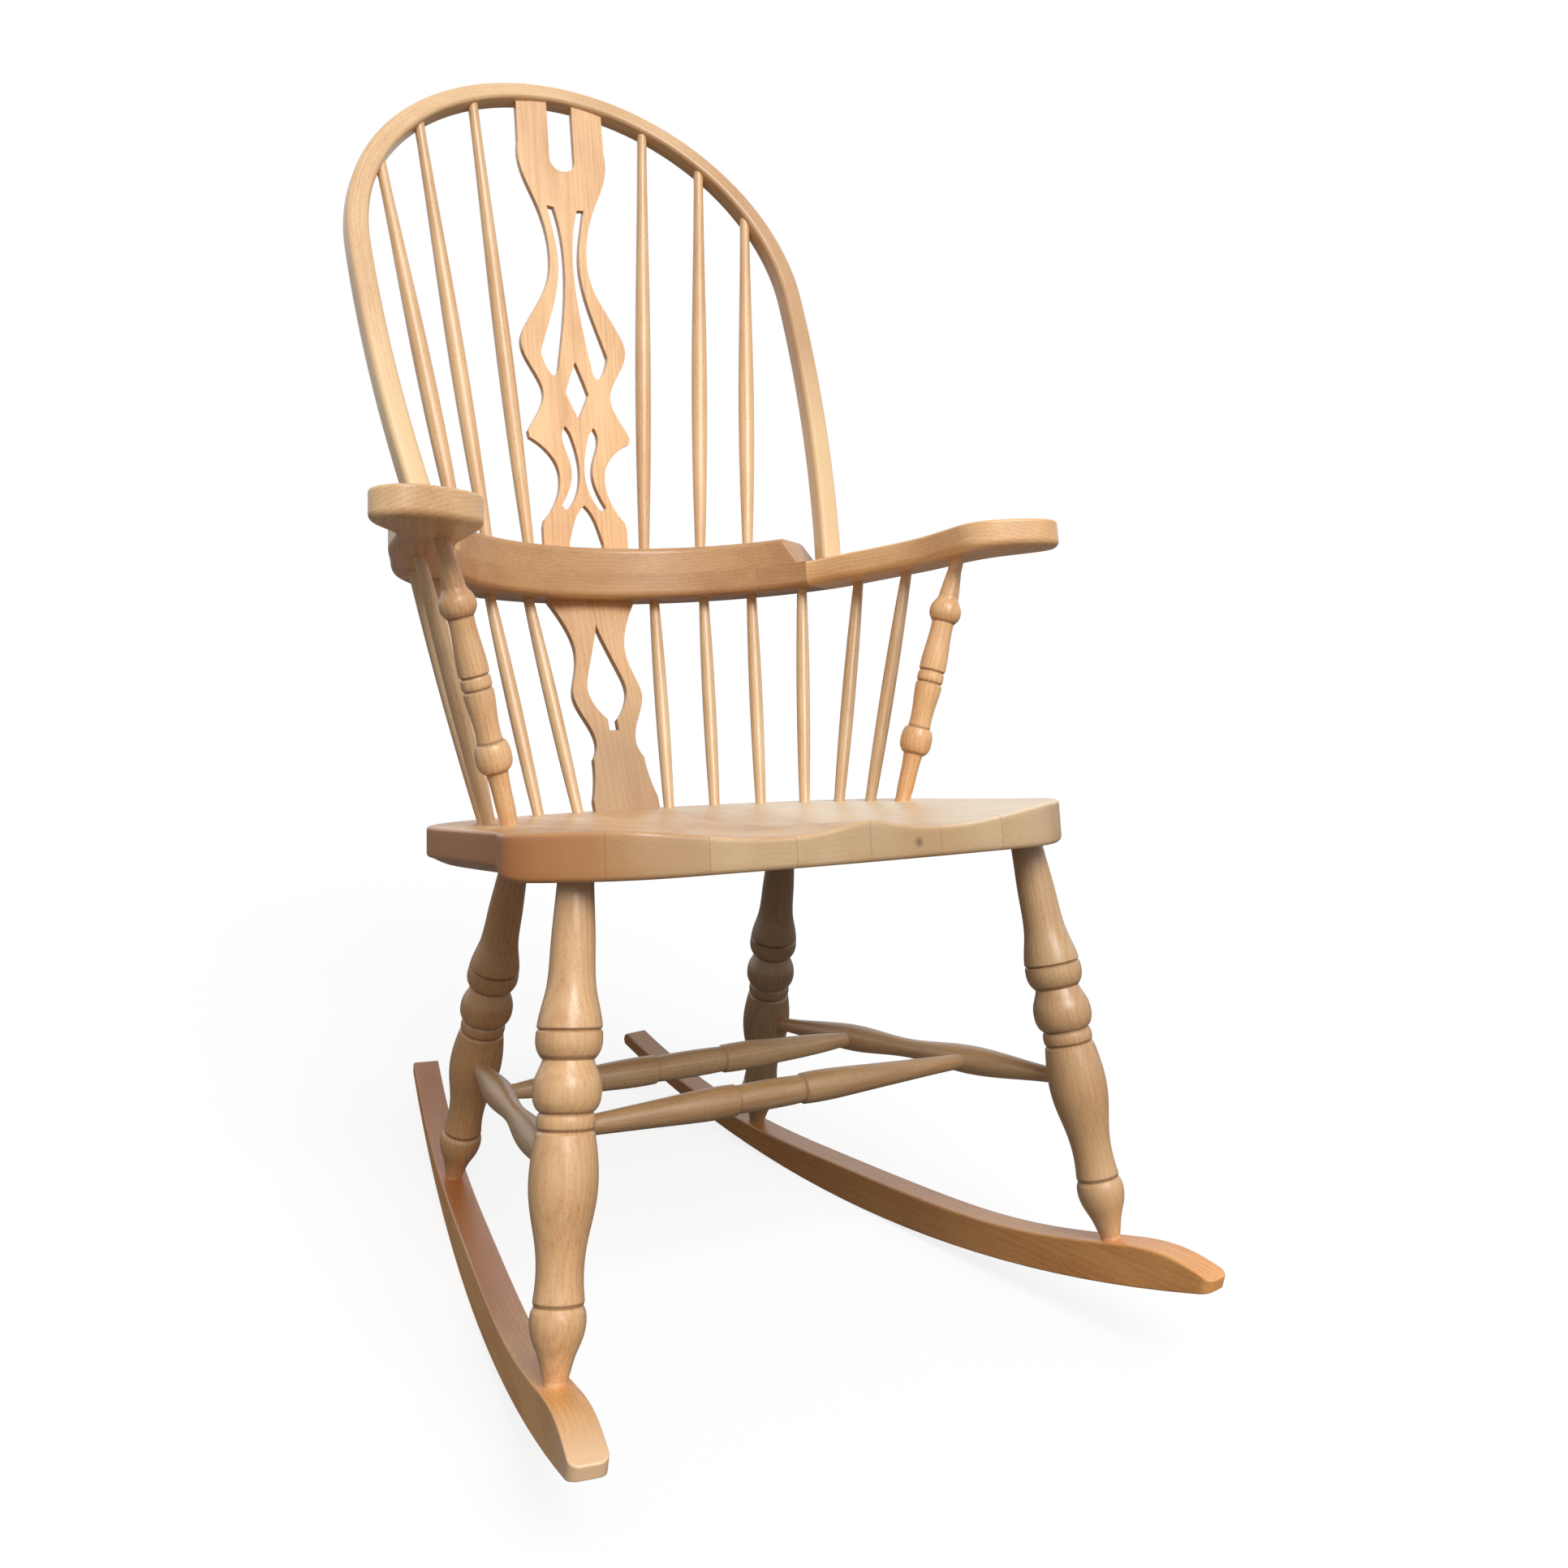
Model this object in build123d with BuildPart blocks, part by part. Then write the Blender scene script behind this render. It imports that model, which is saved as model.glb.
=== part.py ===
from build123d import *
import os
from math import asin, atan, cos, degrees, radians, sin

# Hoop back rocking chair, in millimetres.
#
# The world's x runs to the sitter's left, y to the back and z up, with the floor at z = 0. Most places
# are given in the seat's own frame: x as in the world, y back from the front legs' feet and z up from
# the seat's flat top. At rest the chair stands on its rockers with that frame leaning back.
# Paired pieces are drawn on the sitter's left (x > 0) and mirrored to the right.

os.makedirs("parts", exist_ok=True)

# ---- Driving dimensions ----

rest_tilt = 8.65  # degrees that the seat leans back when the chair is left alone
length_centre = 280.26  # from the front legs' feet to the middle of the chair's length

rocker_radius = 1420  # sole of the rocker
rocker_arc_back = 143  # the sole's centre behind the front foot, along the rocker
rocker_arc_up = 1017  # the sole's centre above the seat's top
rocker_thickness = 27
rocker_nose = -101  # where the sole ends, in front of the front foot and behind it
rocker_tail = 709
rocker_end_round = 8  # rounding of the nose, seen from above
rocker_edge_round = 1.5
front_foot_tenon = 17
rear_foot_tenon = 12

seat_thickness = 36
seat_front_radius = 1458
seat_tenon = 22  # how far the legs go into the seat
seat_top_round = 4
seat_under_round = 5

dip_offset = 75  # middle of each thigh dip from the chair's middle
dip_back = 90  # deepest line of the dips, behind the front feet
dip_depth = 15
dip_width_radius = 626
dip_length_radius = 2600
dip_start = -4  # degrees of the cut round the dips' hub, from straight down to the back
dip_sweep = 11

bow_centre_back = 244  # centre of the arm bow's ring
bow_inner_radius = 232
bow_outer_radius = 290
bow_thickness = 27
bow_back_height = 229  # underside of the arm bow above the seat, at its rearmost point
bow_back_place = 500
bow_rise = 0.038  # how fast the arm bow rises to the front
bow_back_joint = 44.3  # degrees from straight back
bow_corner_joint = 59.5
bow_top_round = 3
bow_under_round = 7

crest_outer_radius = 285
crest_height = 30
crest_half_angle = 57.5  # at its underside
crest_slant = 20  # how far each end leans back over the crest's height
crest_overrun = 3  # degrees turned past each end before it is cut
crest_round = 7
crest_end_round = 4

hoop_foot_back = 253  # where the hoop's middle plane meets the seat's plane
hoop_lean = 20.82  # degrees behind square to the seat
hoop_size = 24
hoop_round = 5.5
hoop_top = 925  # centreline height, up the hoop's plane
hoop_crown_radius = 268
hoop_crown_angle = 92
hoop_side_radius = 2166
hoop_side_length = 391.3  # to the end of the bent stock, before its foot is cut flush
hoop_trim = 20.4  # centreline cut off at the foot
hoop_tenon_radius = 7.5
hoop_tenon_length = 17
hoop_socket = 10  # how far the spindles go into the hoop

splat_thickness = 8
splat_tenon = 11
splat_seat_tenon = 14
mortise_overcut = 15  # how far each mortise's cut starts outside its surface
upper_splat_back = 479.8  # where each splat's middle plane meets the seat's plane
upper_splat_lean = degrees(atan(0.11258))
upper_splat_base = 288  # heights up the splat's plane
upper_splat_top = 860
upper_splat_head = 56  # half widths
upper_splat_fork = 16.5
upper_splat_foot = 51
upper_splat_arch = 21
lower_splat_back = 416.4
lower_splat_lean = degrees(atan(0.3779))
lower_splat_top = 246
lower_splat_head = 52
lower_splat_foot = 36.5

spindle_tenon = 14
spindle_end_radius = 5.6
lower_spindle_belly = 7.3
upper_spindle_end_radius = 6
upper_spindle_belly = 9.4

post_foot_radius = 7.5
post_top_radius = 7
post_tenon = 18

leg_tenon_radius = 8.5
leg_top_radius = 14
front_foot_shoulder = 6  # where the turning starts above the foot's axis point
rear_foot_shoulder = 4
rear_leg_scale = 0.948  # lengths of the turning against the front leg's

stretcher_end_radius = 6.5
stretcher_setback = 6  # a side stretcher's end stops this far short of the leg's axis
leg_bore_depth = 24
cross_setback = 4  # the same for a cross stretcher in a side stretcher
cross_bore_depth = 10

dowel_radius = 4
dowel_length = 20
dowel_radii = (243, 279)

true_tangents = (1, 1)  # keeps a curve's end directions at their own length
glue_gap = 1  # room left past the end of every tenon
mouth = 14  # a socket's bore starts this far outside its surface
neck = 5  # a rod keeps its tenon's radius this far out of a slanted surface

# ---- Places in the seat's frame ----

front_leg_line = ((250, 0, -367), (215, 33, -36))
rear_leg_line = ((170, 470.2, -342), (147, 348, -36))
side_stretcher_line = ((236.3, 13, -237), (161.7, 425.9, -231))
front_cross_back = 136
rear_cross_back = 288
post_foot = (204, 206, 0)
post_top = (271, 179)

lower_spindle_feet = ((52, 423), (100, 410), (143, 385), (174, 345), (193, 306), (203, 262))
lower_spindle_tops = ((76, 496), (128, 473), (173, 441), (210, 390), (250, 334), (266, 263))
upper_spindle_feet = ((70, 507), (128, 478), (171, 442))
upper_spindle_tops = ((111, 568.6, 830), (181, 551.1, 784), (232, 526, 718))

# ---- Frames ----

tilt = radians(rest_tilt)
leg_run = Vector(*rear_leg_line[0]) - Vector(*front_leg_line[0])
toe_in = Vector(0, 1, 0).get_angle(Vector(leg_run.X, leg_run.Y, 0))
rocker_dip = asin(cos(radians(toe_in)) * sin(tilt))
arc_height = (
    front_leg_line[0][2] * cos(tilt)
    - rocker_arc_back * sin(rocker_dip)
    + (rocker_arc_up - front_leg_line[0][2]) * cos(rocker_dip)
)
seat_frame = Plane(
    origin=(0, -length_centre, rocker_radius - arc_height),
    x_dir=(1, 0, 0),
    z_dir=(0, sin(tilt), cos(tilt)),
)


def at(x, y, z):
    """World point of a place in the seat's frame."""
    return seat_frame.from_local_coords(Vector(x, y, z))


def leaning_plane(back, lean):
    """Upright plane that crosses the seat's plane at y = back and leans back by lean degrees.

    Its own x is the chair's x and its own y runs up the slope.
    """
    angle = radians(lean + rest_tilt)
    return Plane(origin=at(0, back, 0), x_dir=(1, 0, 0), z_dir=(0, -cos(angle), sin(angle)))


def bow_underside(y):
    """Height of the arm bow's underside above the seat's plane."""
    return bow_back_height + bow_rise * (bow_back_place - y)


seat_axis = Axis(seat_frame.origin, seat_frame.z_dir)
bow_tilt = tilt + atan(bow_rise)
bow_frame = Plane(
    origin=at(0, bow_centre_back, bow_underside(bow_centre_back)),
    x_dir=(1, 0, 0),
    z_dir=(0, sin(bow_tilt), cos(bow_tilt)),
)
bow_axis = Axis(bow_frame.origin, bow_frame.z_dir)
hoop_frame = leaning_plane(hoop_foot_back, hoop_lean)
upper_splat_frame = leaning_plane(upper_splat_back, upper_splat_lean)
lower_splat_frame = leaning_plane(lower_splat_back, lower_splat_lean)


def on_bow(radius, angle, height):
    """World point on the arm bow's ring, at an angle in degrees from straight back towards +x."""
    turn = radians(angle)
    return bow_frame.from_local_coords(Vector(radius * sin(turn), radius * cos(turn), height))


def bow_direction(angle):
    """Direction along the ring, forwards on the +x side, at an angle from straight back."""
    turn = radians(angle)
    along = bow_frame.from_local_coords(Vector(cos(turn), -sin(turn), 0))
    return along - bow_frame.origin


def ends(line):
    """World points of a line given by its two ends in the seat's frame."""
    return [at(*point) for point in line]


# ---- Shared ways of making a piece ----


def turn_piece(start, end, first, stretches):
    """Turned piece on the line from start to end.

    first is a (distance, radius) pair, and each stretch goes on from the last pair through its own:
    one pair makes a straight cut, and more make a smooth curve.
    """
    axis = (end - start).normalized()
    across = Plane(origin=start, z_dir=axis).x_dir
    with BuildPart() as piece:
        with BuildSketch(Plane(origin=start, x_dir=across, z_dir=across.cross(axis))):
            with BuildLine():
                last = first
                for stretch in stretches:
                    points = [(radius, distance) for distance, radius in [last, *stretch]]
                    if len(points) == 2:
                        Line(*points)
                    else:
                        Spline(*points)
                    last = stretch[-1]
                Polyline((last[1], last[0]), (0, last[0]), (0, first[0]), (first[1], first[0]))
            make_face()
        revolve(axis=Axis(start, axis))
    return piece


def bore(surface_point, inward, radius, depth):
    """Bores a round socket into the piece being built, to a tenon's depth plus its glue gap."""
    inward = inward.normalized()
    with Locations(Plane(origin=surface_point - inward * mouth, z_dir=inward)):
        Cylinder(
            radius,
            mouth + depth + glue_gap,
            align=(Align.CENTER, Align.CENTER, Align.MIN),
            mode=Mode.SUBTRACT,
        )


def cut_mortise(plane, x_range, y_range):
    """Cuts a splat's mortise into the piece being built, over these ranges of the splat's plane."""
    with BuildSketch(plane) as opening:
        with Locations((sum(x_range) / 2, sum(y_range) / 2)):
            Rectangle(x_range[1] - x_range[0], y_range[1] - y_range[0])
    extrude(opening.sketch, amount=splat_thickness / 2, both=True, mode=Mode.SUBTRACT)


def bow_sector(first_angle, last_angle, outer_radius, base, height, top_rounds, round_under):
    """Part of the arm bow's ring, between two angles from straight back, as a revolved section.

    top_rounds holds the rounding of the top's inner edge and of its outer edge; 0 leaves it square.
    """
    radial = (on_bow(1, first_angle, 0) - bow_frame.origin).normalized()
    middle = ((bow_inner_radius + outer_radius) / 2, base + height / 2)
    with BuildPart() as sector:
        with BuildSketch(
            Plane(origin=bow_frame.origin, x_dir=radial, z_dir=radial.cross(bow_frame.z_dir))
        ) as section:
            with Locations(middle):
                Rectangle(outer_radius - bow_inner_radius, height)
            for corner, rounding in zip((0, -1), top_rounds):
                if rounding:
                    fillet(section.vertices().group_by(Axis.Y)[-1].sort_by(Axis.X)[corner], rounding)
            if round_under:
                fillet(section.vertices().group_by(Axis.Y)[0], round_under)
        revolve(axis=bow_axis, revolution_arc=first_angle - last_angle)
    return sector


def write_piece(name, piece):
    """Labels a finished piece and writes its STEP file."""
    piece.part.label = name
    export_step(piece.part, f"parts/{name}.step")


def write_pair(name, piece):
    """Writes a piece of the sitter's left side and its mirror image."""
    write_piece(name.format("left"), piece)
    with BuildPart() as opposite:
        mirror(piece.part, about=Plane.YZ)
    write_piece(name.format("right"), opposite)


# ---- Seat ----


def dish_plane(angle, side):
    """Plane through the dips' hub, turned by an angle in degrees from straight down to the back."""
    hub = at(side * dip_offset, dip_back, dip_length_radius - dip_depth)
    turn = radians(angle) - tilt
    return Plane(origin=hub, x_dir=(1, 0, 0), z_dir=(0, cos(turn), sin(turn)))


def make_seat():
    """Wooden seat: front wings, coved sides, rounded back, two thigh dips and a middle ridge."""
    with BuildPart() as seat:
        with BuildSketch(seat_frame.offset(-seat_thickness)):
            with BuildLine():
                front = JernArc((0, -42), (1, 0), seat_front_radius, 7.1)
                Spline(
                    front @ 1,
                    (208, -16),
                    (233, 6),
                    (254, 31),
                    (264.5, 54),
                    (262, 74),
                    (256, 92),
                    (253.5, 116),
                    (252.5, 170),
                    (251.5, 230),
                    (247.5, 296),
                    (236, 331),
                    (205, 376),
                    (159, 411),
                    (93, 439),
                    (0, 452),
                    tangents=(front % 1, (-1, 0)),
                    tangent_scalars=true_tangents,
                )
                mirror(about=Plane.YZ)
            make_face()
        extrude(amount=seat_thickness)
        fillet(seat.faces().sort_by(seat_axis)[-1].edges(), seat_top_round)
        fillet(seat.faces().sort_by(seat_axis)[0].edges(), seat_under_round)
        for side in (1, -1):
            with BuildSketch(dish_plane(dip_start, side)) as dip:
                with Locations((0, dip_length_radius - dip_width_radius)):
                    Circle(dip_width_radius)
                with Locations((0, dip_length_radius)):
                    Rectangle(2 * dip_width_radius, 3 * dip_depth, mode=Mode.INTERSECT)
            hub = dish_plane(0, side).origin
            revolve(
                dip.sketch, axis=Axis(hub, (1, 0, 0)), revolution_arc=dip_sweep, mode=Mode.SUBTRACT
            )
        for side in (1, -1):
            for line in (front_leg_line, rear_leg_line):
                foot, top = ends([(side * x, y, z) for x, y, z in line])
                bore(top, top - foot, leg_top_radius, seat_tenon)
            for (foot_x, foot_y), (top_x, top_y) in zip(lower_spindle_feet, lower_spindle_tops):
                foot = at(side * foot_x, foot_y, 0)
                top = at(side * top_x, top_y, bow_underside(top_y))
                bore(foot, foot - top, spindle_end_radius, spindle_tenon)
            foot = at(side * post_foot[0], post_foot[1], 0)
            top = at(side * post_top[0], post_top[1], bow_underside(post_top[1]))
            bore(foot, foot - top, post_foot_radius, post_tenon)
        cut_mortise(
            lower_splat_frame,
            (-lower_splat_foot, lower_splat_foot),
            (-splat_seat_tenon - glue_gap, mortise_overcut),
        )
    return seat


# ---- Legs ----

leg_profile = (
    [(10, 9.8), (20, 12.8), (31, 17.6), (39, 19.5), (48, 18.9)],
    [(51, 17.2)],
    [(54, 18.0)],
    [(64, 16.9), (76, 16.8), (91, 18.6), (106, 21.9), (119, 24.1), (133, 24.6), (148, 23.3), (160, 21.3)],
    [(162, 19.6)],
    [(164, 20.8)],
    [(168, 21.2), (172, 20.6)],
    [(174, 19.2)],
    [(176.5, 22.0), (181, 24.2), (188, 25.0), (196, 23.9), (203, 21.0), (209, 18.7)],
    [(212, 21.4), (217, 23.8), (223, 24.5), (228, 24.2)],
    [(229.5, 22.6)],
    [(231, 24.0)],
    [(245, 21.3), (256, 18.7), (268, 17.3), (290, 16.5), (313, 15.1), (330, leg_top_radius)],
)


def make_leg(line, scale, foot_tenon, shoulder, stretcher_end):
    """Turned leg from a rocker to the seat, bored for its side stretcher.

    scale stretches the turning along the leg, so that it ends at the seat's underside.
    """
    foot, top = ends(line)
    stretches = [[(s * scale, r) for s, r in stretch] for stretch in leg_profile]
    leg = turn_piece(
        foot,
        top,
        (-foot_tenon, leg_tenon_radius),
        [
            [(shoulder, leg_tenon_radius)],
            *stretches,
            [((top - foot).length + seat_tenon, leg_top_radius)],
        ],
    )
    near, far = stretcher_end
    reach = (far - near).normalized()
    with BuildPart() as bored_leg:
        add(leg.part)
        tenon_tip = near + reach * stretcher_setback
        bore(tenon_tip + reach * leg_bore_depth, -reach, stretcher_end_radius, leg_bore_depth)
    return bored_leg


# ---- Stretchers ----


def make_side_stretcher():
    """Turned rail from the front leg to the rear leg, with a swelling at each cross stretcher's socket."""
    front, rear = ends(side_stretcher_line)
    length = (rear - front).length
    end = stretcher_setback
    stretcher = turn_piece(
        front,
        rear,
        (end, stretcher_end_radius),
        [
            [(leg_bore_depth + neck, stretcher_end_radius)],
            [
                (60, 8.7),
                (95, 11.5),
                (125, 12.5),
                (160, 10.8),
                (202, 8.6),
                (245, 10.8),
                (280, 12.5),
                (312, 11.3),
                (352, 8.5),
                (length - leg_bore_depth - neck, stretcher_end_radius),
            ],
            [(length - end, stretcher_end_radius)],
        ],
    )
    with BuildPart() as bored_stretcher:
        add(stretcher.part)
        for back in (front_cross_back, rear_cross_back):
            reach, height = cross_end(back)
            start = at(reach - cross_bore_depth, back, height)
            bore(start, Vector(1, 0, 0), stretcher_end_radius, cross_bore_depth)
    return bored_stretcher


def cross_end(back):
    """How far out a cross stretcher's end reaches, and its height, for its place along the chair."""
    (front_x, front_y, front_z), (rear_x, rear_y, rear_z) = side_stretcher_line
    share = (back - front_y) / (rear_y - front_y)
    axis_x = front_x + (rear_x - front_x) * share
    return axis_x - cross_setback, front_z + (rear_z - front_z) * share


def make_cross_stretcher(back, ring):
    """Turned rail between the side stretchers, with a swelling and a ring each side of its middle."""
    reach, height = cross_end(back)
    half = [
        (ring - 3, 11.3),
        (ring - 1.5, 10.4),
        (ring, 12.6),
        (ring + 14, 13.0),
        (ring + 55, 11.6),
        (ring + 110, 8.9),
        (reach - 12, stretcher_end_radius),
        (reach, stretcher_end_radius),
    ]
    left = [(reach + s, r) for s, r in half]
    right = [(reach - s, r) for s, r in reversed(half)]
    return turn_piece(
        at(-reach, back, height),
        at(reach, back, height),
        right[0],
        [
            [right[1]],
            right[2:6],
            [right[6]],
            [right[7]],
            [(reach, 12.0), left[0]],
            [left[1]],
            [left[2]],
            left[3:7],
            [left[7]],
        ],
    )


# ---- Rockers ----

rocker_foot = front_leg_line[0]
rocker_along = Vector(sin(radians(-toe_in)), cos(radians(toe_in)), 0)
rocker_x = at(rocker_along.X, rocker_along.Y, 0) - at(0, 0, 0)
rocker_frame = Plane(
    origin=at(*rocker_foot), x_dir=rocker_x, z_dir=rocker_x.cross(Vector(0, 0, 1)).normalized()
)


def on_rocker(along, height):
    """Sketch point on the rocker, from its place behind the front foot and its height from the seat."""
    return (along, height - rocker_foot[2])


def sole(along):
    """Sketch point on the rocker's sole."""
    drop = (rocker_radius**2 - (along - rocker_arc_back) ** 2) ** 0.5
    return on_rocker(along, rocker_arc_up - drop)


def make_rocker():
    """Sawn runner: a long round sole, a landing before the front leg and a rounded nose and tail."""
    with BuildPart() as rocker:
        with BuildSketch(rocker_frame):
            with BuildLine():
                top = Spline(
                    on_rocker(-105, -372),
                    on_rocker(-88, -365.5),
                    on_rocker(-60, -360),
                    on_rocker(-10, -362.5),
                    on_rocker(60, -370.5),
                    on_rocker(140, -373.5),
                    on_rocker(229, -368.5),
                    on_rocker(350, -357),
                    on_rocker(475, -341.5),
                    on_rocker(590, -314.5),
                    on_rocker(703, -273),
                )
                ThreePointArc(top @ 1, on_rocker(711, -278), sole(rocker_tail))
                ThreePointArc(sole(rocker_tail), sole(rocker_arc_back), sole(rocker_nose))
                Line(sole(rocker_nose), top @ 0)
            make_face()
        extrude(amount=rocker_thickness / 2, both=True)
        nose = rocker.faces().sort_by(Axis(rocker_frame.origin, rocker_frame.x_dir))[0]
        nose_edges = nose.edges().sort_by(Axis(rocker_frame.origin, rocker_frame.z_dir))
        fillet([nose_edges[0], nose_edges[-1]], rocker_end_round)
        fillet(rocker.edges(), rocker_edge_round)
        for line, tenon in ((front_leg_line, front_foot_tenon), (rear_leg_line, rear_foot_tenon)):
            foot, top_end = ends(line)
            bore(foot, foot - top_end, leg_tenon_radius, tenon)
    return rocker


# ---- Arms and arm bow ----


def make_arm():
    """Sawn arm with a broad rounded pad, from the bow's corner joint forwards."""
    joint = radians(bow_corner_joint)
    behind = radians(bow_corner_joint - 10)
    midway = (joint + behind) / 2
    forward = (cos(joint), -sin(joint))
    with BuildPart() as arm:
        with BuildSketch(bow_frame):
            with BuildLine():
                inner = ThreePointArc(
                    (bow_inner_radius * sin(behind), bow_inner_radius * cos(behind)),
                    (bow_inner_radius * sin(midway), bow_inner_radius * cos(midway)),
                    (bow_inner_radius * sin(joint), bow_inner_radius * cos(joint)),
                )
                waist = Spline(
                    inner @ 1,
                    (212, 83),
                    (226, 41),
                    (240, -2),
                    (248, -54),
                    tangents=(forward, (0, -1)),
                    tangent_scalars=true_tangents,
                )
                side = Line(waist @ 1, (248, -100))
                front = Spline(
                    side @ 1,
                    (255, -122),
                    (273, -137),
                    (301, -148),
                    (335, -147),
                    (348, -132),
                    (319, -78),
                    (297, 6),
                    (288, 39),
                    (276, 77),
                    (bow_outer_radius * sin(joint), bow_outer_radius * cos(joint)),
                    tangents=((0, -1), (-forward[0], -forward[1])),
                    tangent_scalars=true_tangents,
                )
                rear = ThreePointArc(
                    front @ 1,
                    (bow_outer_radius * sin(midway), bow_outer_radius * cos(midway)),
                    (bow_outer_radius * sin(behind), bow_outer_radius * cos(behind)),
                )
                Line(rear @ 1, inner @ 0)
            make_face()
        extrude(amount=bow_thickness)
        fillet(arm.faces().sort_by(bow_axis)[-1].edges(), bow_top_round)
        fillet(arm.faces().sort_by(bow_axis)[0].edges(), bow_under_round)
        split(
            bisect_by=Plane(origin=bow_frame.origin, z_dir=bow_direction(bow_corner_joint)),
            keep=Keep.TOP,
        )
        foot = at(*post_foot)
        top = at(*post_top, bow_underside(post_top[1]))
        bore(top, top - foot, post_top_radius, post_tenon)
        for number in (5, 6):
            bore_for_lower_spindle(number, 1)
        foot_point, foot_direction = hoop_foot()
        bore(foot_point, foot_direction, hoop_tenon_radius, hoop_tenon_length)
        bore_for_dowels(bow_corner_joint)
    return arm


def bore_for_lower_spindle(number, side):
    """Bores the arm bow for the top of one lower spindle."""
    foot_x, foot_y = lower_spindle_feet[number - 1]
    top_x, top_y = lower_spindle_tops[number - 1]
    foot = at(side * foot_x, foot_y, 0)
    top = at(side * top_x, top_y, bow_underside(top_y))
    bore(top, top - foot, spindle_end_radius, spindle_tenon)


def dowel_middles(angle):
    """Middle of each dowel in the bow joint at this angle, with the dowel's direction."""
    return [(on_bow(radius, angle, bow_thickness / 2), bow_direction(angle)) for radius in dowel_radii]


def bore_for_dowels(angle):
    """Bores both ways from one bow joint, so that the piece being built gets its half."""
    for middle, along in dowel_middles(angle):
        with Locations(Plane(origin=middle, z_dir=along)):
            Cylinder(dowel_radius, dowel_length + 2 * glue_gap, mode=Mode.SUBTRACT)


def make_bow_back():
    """Back of the arm bow, bored and mortised from below for the lower spindles and splat."""
    sector = bow_sector(
        bow_back_joint,
        -bow_back_joint,
        bow_outer_radius,
        0,
        bow_thickness,
        (0, bow_top_round),
        bow_under_round,
    )
    with BuildPart() as back:
        add(sector.part)
        for side in (1, -1):
            for number in (1, 2, 3):
                bore_for_lower_spindle(number, side)
            bore_for_dowels(side * bow_back_joint)
        cut_mortise(
            lower_splat_frame,
            (-lower_splat_head, lower_splat_head),
            (lower_splat_top - mortise_overcut, lower_splat_top + splat_tenon + glue_gap),
        )
    return back


def make_bow_corner():
    """Short piece of the arm bow between its back and an arm."""
    sector = bow_sector(
        bow_corner_joint,
        bow_back_joint,
        bow_outer_radius,
        0,
        bow_thickness,
        (0, bow_top_round),
        bow_under_round,
    )
    with BuildPart() as corner:
        add(sector.part)
        bore_for_lower_spindle(4, 1)
        bore_for_dowels(bow_back_joint)
        bore_for_dowels(bow_corner_joint)
    return corner


def make_crest():
    """Raised rail on top of the bow's back, bored and mortised for the upper spindles and splat."""
    sector = bow_sector(
        crest_half_angle + crest_overrun,
        -crest_half_angle - crest_overrun,
        crest_outer_radius,
        bow_thickness,
        crest_height,
        (crest_round, crest_round),
        0,
    )
    with BuildPart() as crest:
        add(sector.part)
        for side in (1, -1):
            base_end = on_bow(bow_inner_radius, side * crest_half_angle, bow_thickness)
            outward = bow_direction(side * crest_half_angle) * side
            slope = outward * crest_height + bow_frame.z_dir * crest_slant
            split(bisect_by=Plane(origin=base_end, z_dir=slope), keep=Keep.BOTTOM)
        for end in (0, -1):
            end_face = crest.faces().sort_by(Axis.X)[end]
            fillet(end_face.edges().sort_by(bow_axis)[1:], crest_end_round)
        for side in (1, -1):
            for foot, top in upper_spindle_lines(side):
                bore(foot, foot - top, upper_spindle_end_radius, spindle_tenon)
            cut_mortise(
                upper_splat_frame,
                sorted((side * upper_splat_arch, side * upper_splat_foot)),
                (upper_splat_base - splat_tenon - glue_gap, upper_splat_base + mortise_overcut),
            )
    return crest


def make_dowels():
    """Beech dowels across the four glued joints of the arm bow."""
    with BuildPart() as dowels:
        for angle in (bow_back_joint, bow_corner_joint, -bow_back_joint, -bow_corner_joint):
            for middle, along in dowel_middles(angle):
                with Locations(Plane(origin=middle, z_dir=along)):
                    Cylinder(dowel_radius, dowel_length)
    return dowels


# ---- Hoop ----


def hoop_half():
    """Centreline of the hoop's +x half, from the middle of its crown to its foot."""
    with BuildLine(hoop_frame) as path:
        crown = JernArc((0, hoop_top), (1, 0), hoop_crown_radius, -hoop_crown_angle)
        JernArc(crown @ 1, crown % 1, hoop_side_radius, -degrees(hoop_side_length / hoop_side_radius))
    return path


def hoop_foot():
    """World point where the hoop meets the sitter's left arm, and its direction there."""
    wire = hoop_half().wire()
    return wire @ 1 - (wire % 1) * hoop_trim, wire % 1


def make_hoop():
    """Bent hoop of rounded square section, with a round tenon on each foot."""
    path = hoop_half()
    wire = path.wire()
    with BuildPart() as half:
        with BuildSketch(Plane(origin=wire @ 0, x_dir=hoop_frame.z_dir, z_dir=wire % 0)):
            RectangleRounded(hoop_size, hoop_size, hoop_round)
        sweep(path=wire)
        foot, direction = hoop_foot()
        split(bisect_by=bow_frame.offset(bow_thickness), keep=Keep.TOP)
        with Locations(Plane(origin=foot - direction * neck, z_dir=direction)):
            Cylinder(
                hoop_tenon_radius,
                hoop_tenon_length + neck,
                align=(Align.CENTER, Align.CENTER, Align.MIN),
            )
    with BuildPart() as hoop:
        add(half.part)
        mirror(half.part, about=Plane.YZ)
        for side in (1, -1):
            for foot, top in upper_spindle_lines(side):
                bore(top, top - foot, upper_spindle_end_radius, hoop_socket)
            cut_mortise(
                upper_splat_frame,
                sorted((side * upper_splat_fork, side * upper_splat_head)),
                (upper_splat_top - mortise_overcut, upper_splat_top + splat_tenon + glue_gap),
            )
    return hoop


# ---- Spindles and posts ----


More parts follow.
